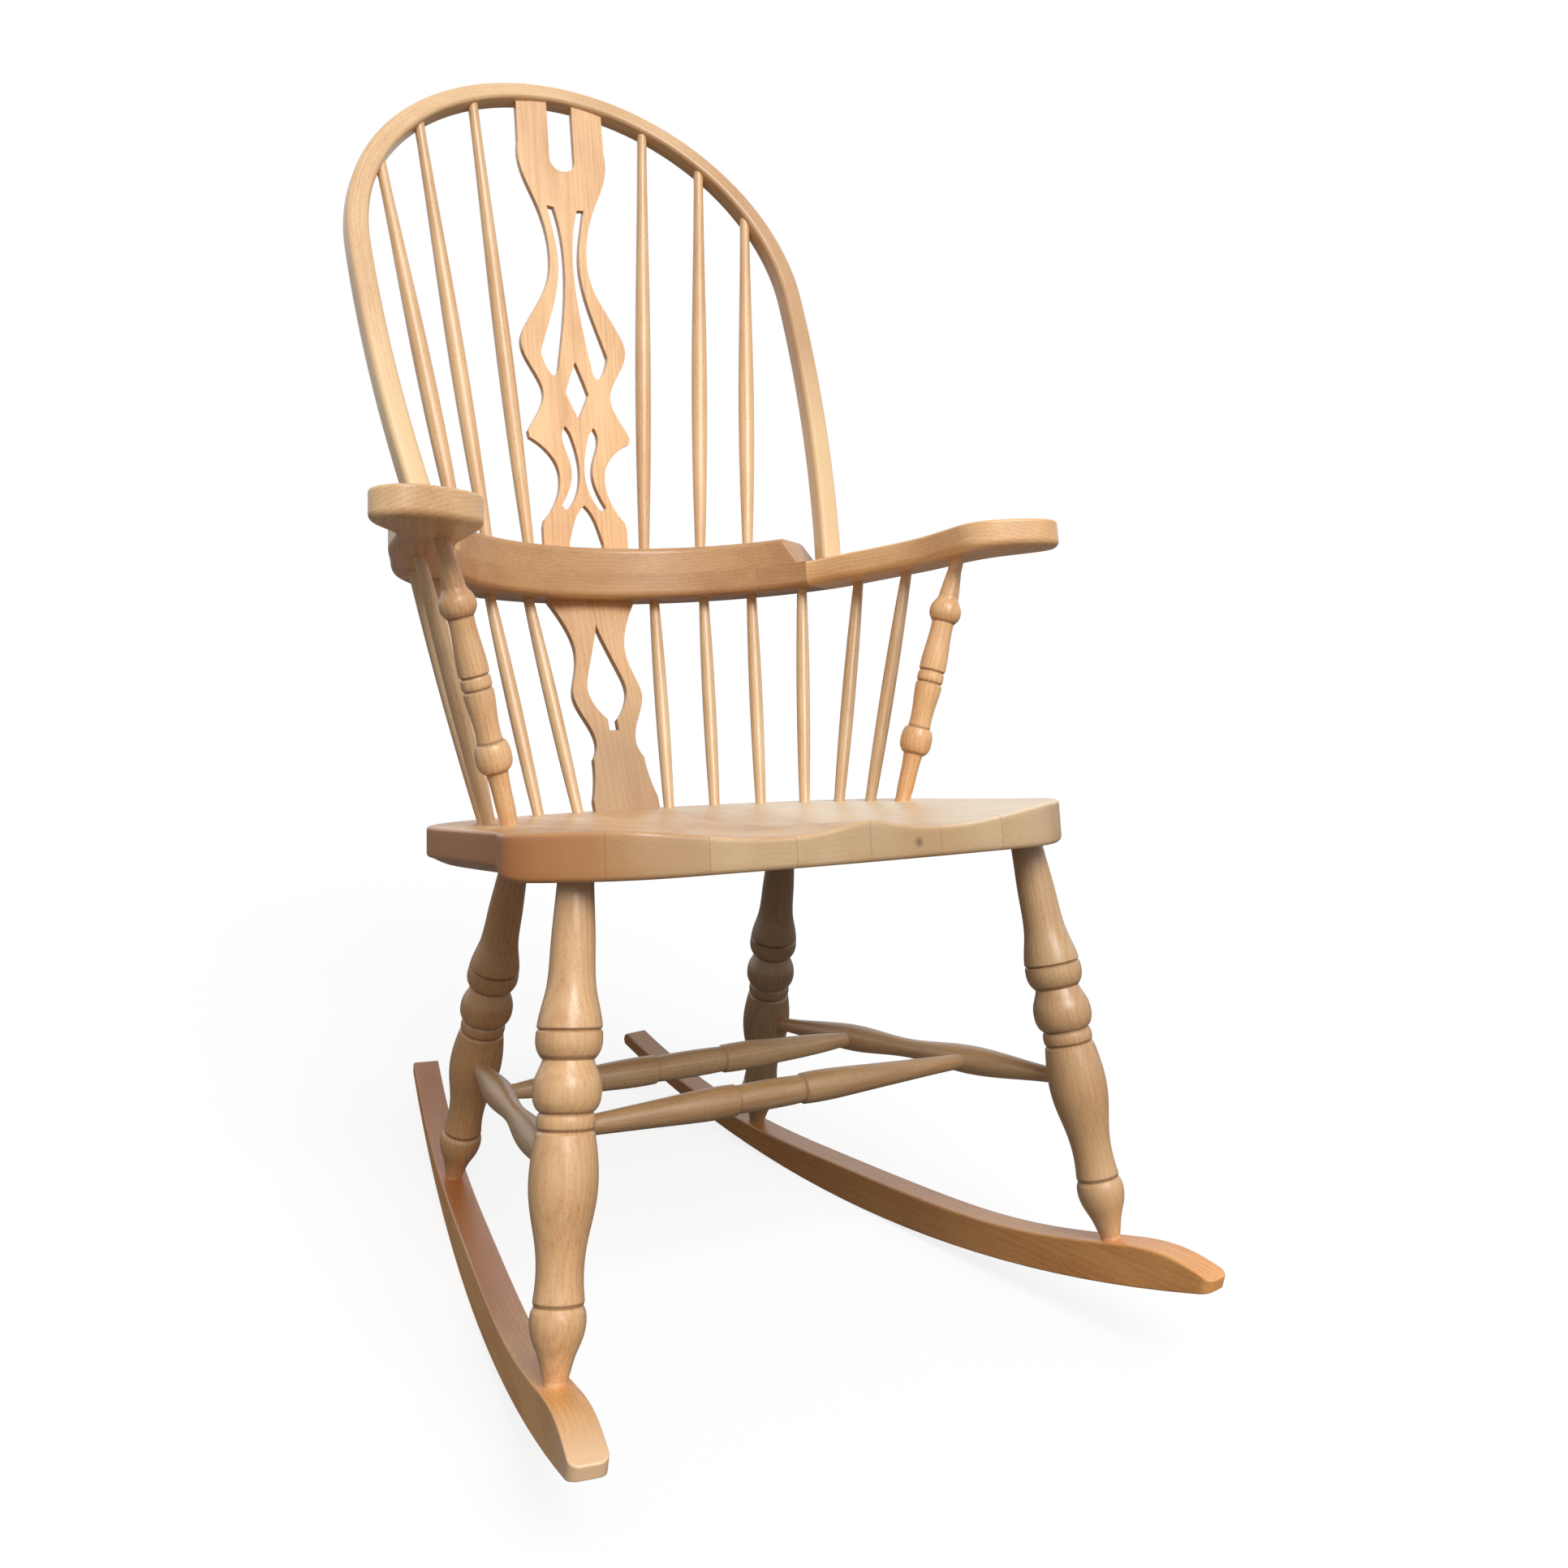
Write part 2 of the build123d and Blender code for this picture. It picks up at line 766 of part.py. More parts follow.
def upper_spindle_lines(side):
    """World ends of the upper spindles of one side, from the crest's top to the hoop."""
    lines = []
    for (foot_x, foot_y), (top_x, top_y, top_z) in zip(upper_spindle_feet, upper_spindle_tops):
        foot_z = bow_underside(foot_y) + bow_thickness + crest_height
        lines.append((at(side * foot_x, foot_y, foot_z), at(side * top_x, top_y, top_z)))
    return lines


def make_upper_spindle(foot, top):
    """Turned spindle, fullest a little below its middle."""
    length = (top - foot).length
    end = upper_spindle_end_radius
    belly = upper_spindle_belly
    return turn_piece(
        foot,
        top,
        (-spindle_tenon, end),
        [
            [(neck, end)],
            [
                (0.2 * length, 0.9 * belly),
                (0.42 * length, belly),
                (0.7 * length, 0.82 * belly),
                (length - 5 * neck, end),
            ],
            [(length + hoop_socket, end)],
        ],
    )


def make_lower_spindle(number):
    """Plain turned spindle from the seat to the arm bow."""
    foot_x, foot_y = lower_spindle_feet[number - 1]
    top_x, top_y = lower_spindle_tops[number - 1]
    foot = at(foot_x, foot_y, 0)
    top = at(top_x, top_y, bow_underside(top_y))
    length = (top - foot).length
    end = spindle_end_radius
    return turn_piece(
        foot,
        top,
        (-spindle_tenon, end),
        [
            [(neck, end)],
            [(0.5 * length, lower_spindle_belly), (length - neck, end)],
            [(length + spindle_tenon, end)],
        ],
    )


post_profile = (
    [(14, 8.1), (30, 8.4), (42, 9.0), (47, 9.6)],
    [(49, 12.4), (54, 15.0), (60, 15.7), (67, 15.2), (72, 13.6)],
    [(74, 11.2)],
    [(84, 10.7), (100, 11.9), (113, 13.1), (118, 13.2)],
    [(120, 11.6)],
    [(122, 12.9), (126, 13.2), (129.5, 12.9)],
    [(131.5, 11.6)],
    [(133.5, 13.2)],
    [(139, 13.3), (155, 12.4), (175, 11.1), (183, 11.2)],
    [(185, 12.8), (189, 15.2), (195, 16.0), (201, 14.6), (206, 11.6), (212, 10.1)],
    [(225, 8.6), (238, post_top_radius)],
)


def make_arm_post():
    """Turned post under the arm, with a bead near each end and a grooved barrel between."""
    foot = at(*post_foot)
    top = at(*post_top, bow_underside(post_top[1]))
    return turn_piece(
        foot,
        top,
        (-post_tenon, post_foot_radius),
        [
            [(neck, post_foot_radius)],
            *post_profile,
            [((top - foot).length + post_tenon, post_top_radius)],
        ],
    )


# ---- Splats ----


def cut_mirrored(outline):
    """Cuts an opening from the sketch being built, as an outline of curves and its mirror image."""
    for side in (1, -1):
        with BuildSketch(mode=Mode.PRIVATE) as opening:
            with BuildLine():
                for curve in outline:
                    points = [(side * x, y) for x, y in curve]
                    if len(points) == 2:
                        Line(*points)
                    else:
                        Spline(*points)
            make_face()
        add(opening.sketch, mode=Mode.SUBTRACT)


def make_upper_splat():
    """Fretted splat: forked head, two waists, long side slots, a kite, curved slots and an arched foot."""
    head_top = upper_splat_top + splat_tenon
    foot_base = upper_splat_base - splat_tenon
    with BuildPart() as splat:
        with BuildSketch(upper_splat_frame):
            with BuildLine():
                Polyline((0, head_top), (upper_splat_head, head_top), (upper_splat_head, 800))
                Spline(
                    (upper_splat_head, 800),
                    (51, 754),
                    (37.5, 721),
                    (26.5, 683),
                    (23.5, 650),
                    (28, 618),
                    (41, 590),
                    (56.5, 563),
                    (65.5, 539),
                    (50, 499),
                    (41.5, 474),
                    (50, 450),
                    (63, 428),
                )
                Line((63, 428), (61.5, 420))
                Spline((61.5, 420), (42, 406), (30, 388), (27.5, 369), (37, 339), (49, 323))
                Polyline(
                    (49, 323), (upper_splat_foot, 315), (upper_splat_foot, foot_base), (0, foot_base)
                )
                mirror(about=Plane.YZ)
            make_face()
            with Locations((0, head_top)):
                SlotOverall(2 * (head_top - 767), 2 * upper_splat_fork, rotation=90, mode=Mode.SUBTRACT)
            long_slot = (
                [(24, 718), (18, 686), (13.5, 648), (18, 606), (35, 549), (42, 527)],
                [(42, 527), (38, 512), (27.5, 498), (21, 506)],
                [(21, 506), (11.5, 565), (5.5, 633), (9, 690), (15, 717)],
                [(15, 717), (24, 718)],
            )
            cut_mirrored(long_slot)
            kite = (
                [(0, 518), (7, 500), (14.5, 478)],
                [(14.5, 478), (10, 467), (0, 446)],
                [(0, 446), (0, 518)],
            )
            cut_mirrored(kite)
            curved_slot = (
                [(17.5, 437), (22.5, 424), (15.5, 397), (13, 379), (19.5, 355), (27, 341)],
                [(27, 341), (22.5, 336), (16.5, 340)],
                [(16.5, 340), (6, 360), (3, 378), (5.5, 407), (12, 429)],
                [(12, 429), (17.5, 437)],
            )
            cut_mirrored(curved_slot)
            arch = (
                [(0, 342), (6.5, 335), (12, 325), (upper_splat_arch, 297)],
                [(upper_splat_arch, 297), (upper_splat_arch, foot_base)],
                [(upper_splat_arch, foot_base), (0, foot_base)],
                [(0, foot_base), (0, 342)],
            )
            cut_mirrored(arch)
        extrude(amount=splat_thickness / 2, both=True)
    return splat


def make_lower_splat():
    """Fretted splat under the arm bow, with a keyhole-footed teardrop opening."""
    head_top = lower_splat_top + splat_tenon
    with BuildPart() as splat:
        with BuildSketch(lower_splat_frame):
            with BuildLine():
                Polyline((0, head_top), (lower_splat_head, head_top), (lower_splat_head, 243))
                Spline(
                    (lower_splat_head, 243),
                    (37.5, 215),
                    (29.5, 184),
                    (34, 155),
                    (40, 129),
                    (31, 102),
                    (23, 79),
                    (29, 57),
                )
                Spline((29, 57), (30.5, 38), (lower_splat_foot, 12))
                Polyline(
                    (lower_splat_foot, 12), (lower_splat_foot, -splat_seat_tenon), (0, -splat_seat_tenon)
                )
                mirror(about=Plane.YZ)
            make_face()
            teardrop = (
                [(0, 214), (7.5, 188), (17, 160), (22.5, 132), (17, 116), (5.5, 101)],
                [(5.5, 101), (5.5, 88)],
                [(5.5, 88), (0, 88)],
                [(0, 88), (0, 214)],
            )
            cut_mirrored(teardrop)
        extrude(amount=splat_thickness / 2, both=True)
    return splat


# ---- The chair ----

write_piece("seat", make_seat())

side_line = ends(side_stretcher_line)
front_leg = make_leg(front_leg_line, 1, front_foot_tenon, front_foot_shoulder, side_line)
write_pair("front_leg_{}", front_leg)
rear_leg = make_leg(
    rear_leg_line, rear_leg_scale, rear_foot_tenon, rear_foot_shoulder, side_line[::-1]
)
write_pair("rear_leg_{}", rear_leg)
write_pair("side_stretcher_{}", make_side_stretcher())
write_piece("cross_stretcher_front", make_cross_stretcher(front_cross_back, 33.5))
write_piece("cross_stretcher_rear", make_cross_stretcher(rear_cross_back, 36.5))
write_pair("rocker_{}", make_rocker())

write_pair("arm_{}", make_arm())
write_piece("arm_bow_back", make_bow_back())
write_pair("arm_bow_corner_{}", make_bow_corner())
write_piece("arm_crest", make_crest())
write_piece("bow_dowels", make_dowels())
write_piece("hoop", make_hoop())

write_piece("splat_upper", make_upper_splat())
write_piece("splat_lower", make_lower_splat())
write_pair("arm_post_{}", make_arm_post())
for number in range(1, len(lower_spindle_feet) + 1):
    write_pair("lower_spindle_{}_" + str(number), make_lower_spindle(number))
for number, (foot, top) in enumerate(upper_spindle_lines(1), start=1):
    write_pair("upper_spindle_{}_" + str(number), make_upper_spindle(foot, top))
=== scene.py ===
# %% [markdown]
# # A hoop back rocking chair in pale beech
# The chair's construction is already made: forty-one pieces of solid beech, each at its real size and in its
# place. This notebook gives them their looks. Most pieces keep their shape and get a wood finish of their
# own. Two pieces whose surface is subtler than their construction, the saddled seat and the bent hoop, are
# made again here as computed surfaces.

# %% Load the imported chair
import math

import bpy
import numpy as np
from mathutils import Matrix, Vector


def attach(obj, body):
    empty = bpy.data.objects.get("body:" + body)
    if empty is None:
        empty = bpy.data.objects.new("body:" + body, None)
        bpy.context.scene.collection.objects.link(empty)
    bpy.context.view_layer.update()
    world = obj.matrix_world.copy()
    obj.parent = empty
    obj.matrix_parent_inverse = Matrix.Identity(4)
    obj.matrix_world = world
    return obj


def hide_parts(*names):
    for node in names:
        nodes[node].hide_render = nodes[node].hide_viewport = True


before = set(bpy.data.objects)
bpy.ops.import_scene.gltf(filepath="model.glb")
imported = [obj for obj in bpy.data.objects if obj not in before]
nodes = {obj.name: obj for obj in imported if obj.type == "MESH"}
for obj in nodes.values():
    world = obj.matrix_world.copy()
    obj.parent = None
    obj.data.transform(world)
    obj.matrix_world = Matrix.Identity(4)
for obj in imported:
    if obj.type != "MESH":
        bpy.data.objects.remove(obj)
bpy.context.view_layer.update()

# %% [markdown]
# ## Camera
# A chair looks natural from about arm height, from a metre and a half away, and a little from its right.
# The camera is placed at a given point and turned by three angles: where it heads, how far it climbs, and
# how it rolls. The picture is framed low on the lens's axis, which the sensor shift does without tilting the
# uprights.

# %% Camera
camera_place = (-0.6477, -1.2885, 0.6359)
camera_heading = 29.80  # degrees from straight back (+Y) towards +X
camera_climb = 2.90
camera_roll = 1.89
camera_lens = 33.79  # mm, on a sensor 36 mm wide
camera_sensor = 36
camera_shift = (0.0058, -0.1886)
camera_nearest = 0.05

camera = bpy.data.objects.new("camera", bpy.data.cameras.new("camera"))
camera.data.lens = camera_lens
camera.data.sensor_width = camera_sensor
camera.data.shift_x, camera.data.shift_y = camera_shift
camera.data.clip_start = camera_nearest
camera.matrix_world = (
    Matrix.Translation(camera_place)
    @ Matrix.Rotation(math.radians(-camera_heading), 4, "Z")
    @ Matrix.Rotation(math.radians(90 + camera_climb), 4, "X")
    @ Matrix.Rotation(math.radians(camera_roll), 4, "Z")
)
scene = bpy.context.scene
scene.collection.objects.link(camera)
scene.camera = camera
scene.view_settings.view_transform = "Standard"
print("camera at", [round(v, 3) for v in camera.matrix_world.translation])

# %% [markdown]
# ## Helpers for node trees
# A material is a tree of nodes, and building one by hand takes many lines. These small helpers keep the
# rest short. The first adds a node and fills its inputs, linking a socket or setting a value. The others
# wrap the nodes that come up most: arithmetic, a ramp between two values, a stretched noise, a mix of two
# colours, and where a point is and which way it faces.


# %% Node helpers
def add_node(tree, kind, inputs=None, **settings):
    """Adds a node, sets its own properties, and links or sets each input, by name or number."""
    node = tree.nodes.new(kind)
    for name, value in settings.items():
        setattr(node, name, value)
    for name, value in (inputs or {}).items():
        if isinstance(value, bpy.types.NodeSocket):
            tree.links.new(value, node.inputs[name])
        else:
            node.inputs[name].default_value = value
    return node


def maths(tree, operation, *values):
    """Output of a Math node on these sockets or numbers."""
    return add_node(tree, "ShaderNodeMath", dict(enumerate(values)), operation=operation).outputs[0]


def ramp(tree, value, start, end, low=0.0, high=1.0):
    """Output of a Map Range node: low at start, high at end, straight between them and level outside."""
    ranges = {"Value": value, "From Min": start, "From Max": end, "To Min": low, "To Max": high}
    return add_node(tree, "ShaderNodeMapRange", ranges).outputs[0]


def noise(tree, vector, scale, detail, roughness=0.5):
    """Output of a noise texture, 0 to 1, with its own scale for each direction of the vector."""
    scaled = add_node(tree, "ShaderNodeMapping", {"Vector": vector, "Scale": scale}).outputs[0]
    values = {"Vector": scaled, "Scale": 1.0, "Detail": detail, "Roughness": roughness}
    return add_node(tree, "ShaderNodeTexNoise", values).outputs["Fac"]


def mix_colours(tree, share, first, second, blend="MIX"):
    """Output of a colour mix: share of the second over the first, each a socket or a colour."""
    node = add_node(tree, "ShaderNodeMix", data_type="RGBA", blend_type=blend, clamp_factor=True)
    fields = [socket for socket in node.inputs if socket.enabled]
    for socket, value in zip(fields, (share, first, second)):
        if isinstance(value, bpy.types.NodeSocket):
            tree.links.new(value, socket)
        else:
            socket.default_value = value
    return next(socket for socket in node.outputs if socket.enabled)


# %% Where a point is, and which way it faces
def object_place(tree):
    """A point's own coordinates. Every piece sits at the origin, so they are the world's, in metres."""
    return add_node(tree, "ShaderNodeTexCoord").outputs["Object"]


def surface_normal(tree):
    """The direction that the surface faces at a point."""
    return add_node(tree, "ShaderNodeNewGeometry").outputs["Normal"]


def component(tree, vector, axis):
    """X, Y or Z of a vector."""
    return add_node(tree, "ShaderNodeSeparateXYZ", {0: vector}).outputs[axis]


# %% Colours, materials and groups
def linear(red, green, blue):
    """A colour given on a screen's scale, 0 to 255, as the linear light values that shaders use."""
    share = np.array([red, green, blue]) / 255
    light = np.where(share <= 0.04045, share / 12.92, ((share + 0.055) / 1.055) ** 2.4)
    return (*light.tolist(), 1.0)


def new_tree(name):
    """A new material and its empty node tree."""
    material = bpy.data.materials.new(name)
    material.use_nodes = True
    material.node_tree.nodes.clear()
    return material, material.node_tree


def new_group(name, inputs, outputs):
    """A new node group with its inner sockets. Each socket has a name and a kind: Float, Vector or Color."""
    group = bpy.data.node_groups.new(name, "ShaderNodeTree")
    for way, sockets in (("INPUT", inputs), ("OUTPUT", outputs)):
        for socket, kind in sockets.items():
            group.interface.new_socket(socket, in_out=way, socket_type="NodeSocket" + kind)
    return group, add_node(group, "NodeGroupInput").outputs, add_node(group, "NodeGroupOutput").inputs


# %% [markdown]
# ## Helper for computed surfaces
# Both computed pieces are closed shapes made of rings: the seat's rings grow out from the middle of its
# top and close under it, and the hoop's follow one another along the stick. Each ring is closed on
# itself, and one point closes each end. Working in whole arrays keeps this fast.


# %% Mesh helper
def closed_mesh(name, rings, place=None):
    """Mesh from rings[row, column] of points, each ring closed, with a pole at the middle of each end ring.

    The pole is the mean of its ring. Faces are turned outwards by the sign of the enclosed volume, which
    is a sixth of the sum of each triangle's triple product. place gives each point its own grain place.
    """
    rows, columns = rings.shape[:2]
    points = np.concatenate([rings.reshape(-1, 3), rings[[0, -1]].mean(axis=1)])
    index = np.arange(rows * columns).reshape(rows, columns)
    beside = np.roll(index, -1, axis=1)
    quads = np.stack([index[:-1], beside[:-1], beside[1:], index[1:]], -1).reshape(-1, 4)
    first_pole, last_pole = (np.full(columns, rows * columns + end) for end in (0, 1))
    first_fan = np.stack([beside[0], index[0], first_pole], -1)
    last_fan = np.stack([index[-1], beside[-1], last_pole], -1)
    fans = np.concatenate([first_fan, last_fan])
    corners = points[np.concatenate([quads[:, :3], quads[:, [0, 2, 3]], fans])]
    volume = np.einsum("ij,ij->", corners[:, 0], np.cross(corners[:, 1], corners[:, 2])) / 6
    if volume < 0:
        quads, fans = quads[:, ::-1], fans[:, ::-1]
    mesh = bpy.data.meshes.new(name)
    mesh.from_pydata(points.tolist(), [], quads.tolist() + fans.tolist())
    mesh.polygons.foreach_set("use_smooth", np.ones(len(mesh.polygons), bool))
    if place is not None:
        place = np.concatenate([place.reshape(-1, 3), place[[0, -1]].mean(axis=1)])
        stored = mesh.attributes.new("grain_place", "FLOAT_VECTOR", "POINT")
        stored.data.foreach_set("vector", place.astype(np.float32).ravel())
    mesh.update()
    piece = bpy.data.objects.new(name, mesh)
    scene.collection.objects.link(piece)
    print(name, len(points), "points, volume", round(abs(volume) * 1e3, 3), "litres")
    return piece


# %% [markdown]
# ## Floor and light
# The chair stands on a plain white floor that runs on to a white surround, so nothing competes with the
# wood. A soft sun from the front models the turnings, and an even sky fills the shade. Part of
# the floor's white comes from a glow that only the camera sees, so the floor can be white without
# throwing more light up at the chair, and it still takes the chair's shadow.

# %% Floor
floor_reach = 30.0
floor_grey = 0.18
floor_glow = 0.85
corners = [(x * floor_reach, y * floor_reach, 0) for x, y in ((-1, -1), (1, -1), (1, 1), (-1, 1))]
floor_mesh = bpy.data.meshes.new("floor")
floor_mesh.from_pydata(corners, [], [(0, 1, 2, 3)])
floor = bpy.data.objects.new("floor", floor_mesh)
scene.collection.objects.link(floor)

paper, tree = new_tree("white_floor")
seen = add_node(tree, "ShaderNodeLightPath").outputs["Is Camera Ray"]
diffuse = add_node(tree, "ShaderNodeBsdfDiffuse", {"Color": (floor_grey, floor_grey, floor_grey, 1)})
glow_strength = maths(tree, "MULTIPLY", seen, floor_glow)
glow = add_node(tree, "ShaderNodeEmission", {"Color": (1, 1, 1, 1), "Strength": glow_strength})
both = add_node(tree, "ShaderNodeAddShader", {0: diffuse.outputs[0], 1: glow.outputs[0]})
add_node(tree, "ShaderNodeOutputMaterial", {"Surface": both.outputs[0]})
floor_mesh.materials.append(paper)
print("floor", 2 * floor_reach, "metres wide")

# %% Sky and sun
sky_strength = 0.38
sky_seen_strength = 1.0  # what the camera and reflections see
sun_strength = 2.4
sun_softness = 30  # degrees across
sun_climb = 43
sun_heading = 6  # degrees of the light's travel from straight back towards +X

sky = bpy.data.worlds.new("sky")
sky.use_nodes = True
tree = sky.node_tree
tree.nodes.clear()
rays = add_node(tree, "ShaderNodeLightPath").outputs
direct = maths(tree, "MAXIMUM", rays["Is Camera Ray"], rays["Is Glossy Ray"])
strength = ramp(tree, direct, 0.0, 1.0, sky_strength, sky_seen_strength)
background = add_node(tree, "ShaderNodeBackground", {"Color": (1, 1, 1, 1), "Strength": strength})
add_node(tree, "ShaderNodeOutputWorld", {"Surface": background.outputs[0]})
scene.world = sky

sun = bpy.data.objects.new("sun", bpy.data.lights.new("sun", "SUN"))
sun.data.energy = sun_strength
sun.data.angle = math.radians(sun_softness)
sun_turn = Matrix.Rotation(math.radians(-sun_heading), 4, "Z")
sun.matrix_world = sun_turn @ Matrix.Rotation(math.radians(90 - sun_climb), 4, "X")
scene.collection.objects.link(sun)
print("sun travels", [round(v, 2) for v in sun.matrix_world.to_quaternion() @ Vector((0, 0, -1))])

# %% [markdown]
# ## Beech
# Beech is a pale, even wood. Four things are visible in it: faint growth rings that turn into flames on
# a turned or sawn surface, fine threads along the grain, short dark ray flecks about three millimetres
# long that lie along it too, and slow changes of tone. All are made from one place vector whose z runs
# along the grain, so a piece only has to say how its grain lies. Noise stretched along z makes the
# threads and flecks, and a ring wave about a heart outside the piece makes the growth rings.

# %% Sizes and depths of the pattern
cloud_scale = (15, 15, 4)  # spots in a metre: twice across the grain, then along it; the others too
cloud_detail = 5.0
cloud_roughness = 0.62
cloud_middle = 0.38
strand_scale = (520, 520, 14)
strand_detail = 2.0
strand_depth = 0.55
fleck_scale = (1300, 1300, 300)
fleck_detail = 1.0
fleck_range = (0.56, 0.68)  # the noise where a fleck starts and where it is full
ring_stretch = (1, 1, 0.12)
ring_wave = {"Scale": 78.0, "Distortion": 5.0, "Detail": 3.0, "Detail Scale": 0.6}  # a ring every 4 mm
ring_sharpness = 2.0
roughness_range = (0.36, 0.5)  # of the palest and the deepest wood


# %% Beech node group
def beech_group():
    """Group: a place along the grain, two colours and strengths in; colour, roughness and height out."""
    inputs = {"Place": "Vector", "Pale": "Color", "Deep": "Color"}
    strengths = {"Figure": "Float", "Flecks": "Float", "Cloud": "Float"}
    outputs = {"Color": "Color", "Roughness": "Float", "Height": "Float"}
    group, given, put = new_group("beech", inputs | strengths, outputs)

    cloud = noise(group, given["Place"], cloud_scale, cloud_detail, cloud_roughness)
    strand = noise(group, given["Place"], strand_scale, strand_detail)
    dash = noise(group, given["Place"], fleck_scale, fleck_detail)
    wander = add_node(group, "ShaderNodeMapping", {"Vector": given["Place"], "Scale": ring_stretch})
    rings = add_node(
        group,
        "ShaderNodeTexWave",
        {"Vector": wander.outputs[0]} | ring_wave,
        wave_type="RINGS",
        rings_direction="Z",
        wave_profile="SIN",
    )
    dark_rings = maths(group, "POWER", rings.outputs["Fac"], ring_sharpness)

    figure = maths(group, "MULTIPLY", dark_rings, given["Figure"])
    threads = maths(group, "MULTIPLY", maths(group, "SUBTRACT", strand, 0.5), strand_depth)
    marks = maths(group, "MULTIPLY", ramp(group, dash, *fleck_range), given["Flecks"])
    clouds = maths(group, "MULTIPLY", maths(group, "SUBTRACT", cloud, cloud_middle), given["Cloud"])
    depth = maths(group, "ADD", maths(group, "ADD", figure, threads), maths(group, "ADD", marks, clouds))
    pits = maths(group, "MULTIPLY", maths(group, "ADD", marks, threads), -1.0)
    group.links.new(mix_colours(group, depth, given["Pale"], given["Deep"]), put["Color"])
    group.links.new(ramp(group, depth, 0.0, 1.0, *roughness_range), put["Roughness"])
    group.links.new(pits, put["Height"])
    return group


beech = beech_group()
print("beech group:", len(beech.nodes), "nodes")

# %% [markdown]
# ## A finish for each piece
# No two pieces of a chair come from the same board, so each piece gets its own offset in the wood and a
# slightly different tone, drawn from a seeded generator. The grain follows the piece's longest
# direction, which the main axis of its points gives, and a Mapping node turns the pattern on to it.
# The lacquer is a thin satin coat.

# %% Which way the grain runs
board_seed = 11
heart_distance = (0.04, 0.11)
board_reach = 2
draws = np.random.default_rng(board_seed)


def points_of(piece):
    """The piece's points as rows of x, y and z."""
    points = np.empty(len(piece.data.vertices) * 3)
    piece.data.vertices.foreach_get("co", points)
    return points.reshape(-1, 3)


def grain_direction(piece):
    """Unit vector of the longest spread of the piece's points: the first axis of their covariance."""
    points = points_of(piece)
    spread = np.cov((points - points.mean(axis=0)).T)
    along = np.linalg.eigh(spread)[1][:, -1]
    return Vector(along * (1 if along[np.argmax(np.abs(along))] > 0 else -1))


def board_place(tree, along, shift):
    """Object coordinates turned so that z runs along the grain, and shifted to a place in the board."""
    turn = Vector(along).rotation_difference(Vector((0, 0, 1))).to_euler()
    placed = {"Vector": object_place(tree), "Rotation": turn, "Location": shift}
    return add_node(tree, "ShaderNodeMapping", placed).outputs[0]


def board_shift():
    """A random place for the piece in its board, with the tree's heart outside the piece."""
    heart = draws.uniform(*heart_distance)
    angle = draws.uniform(0, 2 * math.pi)
    return (heart * math.cos(angle), heart * math.sin(angle), draws.uniform(-board_reach, board_reach))


# %% Wood and lacquer
pale_beech = linear(225, 188, 142)
deep_beech = linear(170, 114, 64)
beech_strengths = {"Figure": 0.15, "Flecks": 0.28, "Cloud": 1.5}
bump_height = 0.00012
bump_strength = 0.6
lacquer = {"IOR": 1.5, "Coat Weight": 0.45, "Coat Roughness": 0.36}


def tinted(colour, gain, warmth=0.0):
    """A colour made lighter by gain, and redder and less blue by warmth."""
    red, green, blue = colour[:3]
    return (min(red * gain * (1 + warmth), 1), min(green * gain, 1), min(blue * gain * (1 - warmth), 1), 1)


def beech_wood(tree, place, gain, warmth):
    """Outputs of the beech pattern at this place in the board, in this tone."""
    colours = {"Pale": tinted(pale_beech, gain, warmth), "Deep": tinted(deep_beech, gain, warmth)}
    inputs = {"Place": place} | colours | beech_strengths
    # The tree comes with the node, so its sockets are there before they are filled.
    return add_node(tree, "ShaderNodeGroup", inputs, node_tree=beech).outputs


def finish_shader(tree, colour, roughness, height):
    """The lacquered surface itself, fed by a pattern's outputs."""
    bump = {"Height": height, "Distance": bump_height, "Strength": bump_strength}
    normal = add_node(tree, "ShaderNodeBump", bump).outputs[0]
    surface = {"Base Color": colour, "Roughness": roughness, "Normal": normal} | lacquer
    shader = add_node(tree, "ShaderNodeBsdfPrincipled", surface)
    add_node(tree, "ShaderNodeOutputMaterial", {"Surface": shader.outputs[0]})


def beech_finish(name, along, gain, warmth, patinas):
    """Material of one plain board or turning. Each patina takes the tree and a colour and hands one back."""
    material, tree = new_tree(name)
    wood = beech_wood(tree, board_place(tree, along, board_shift()), gain, warmth)
    colour = wood["Color"]
    for patina in patinas:
        colour = patina(tree, colour)
    finish_shader(tree, colour, wood["Roughness"], wood["Height"])
    return material


def dress(piece, material):
    """Gives a piece one material in place of its own."""
    piece.data.materials.clear()
    piece.data.materials.append(material)
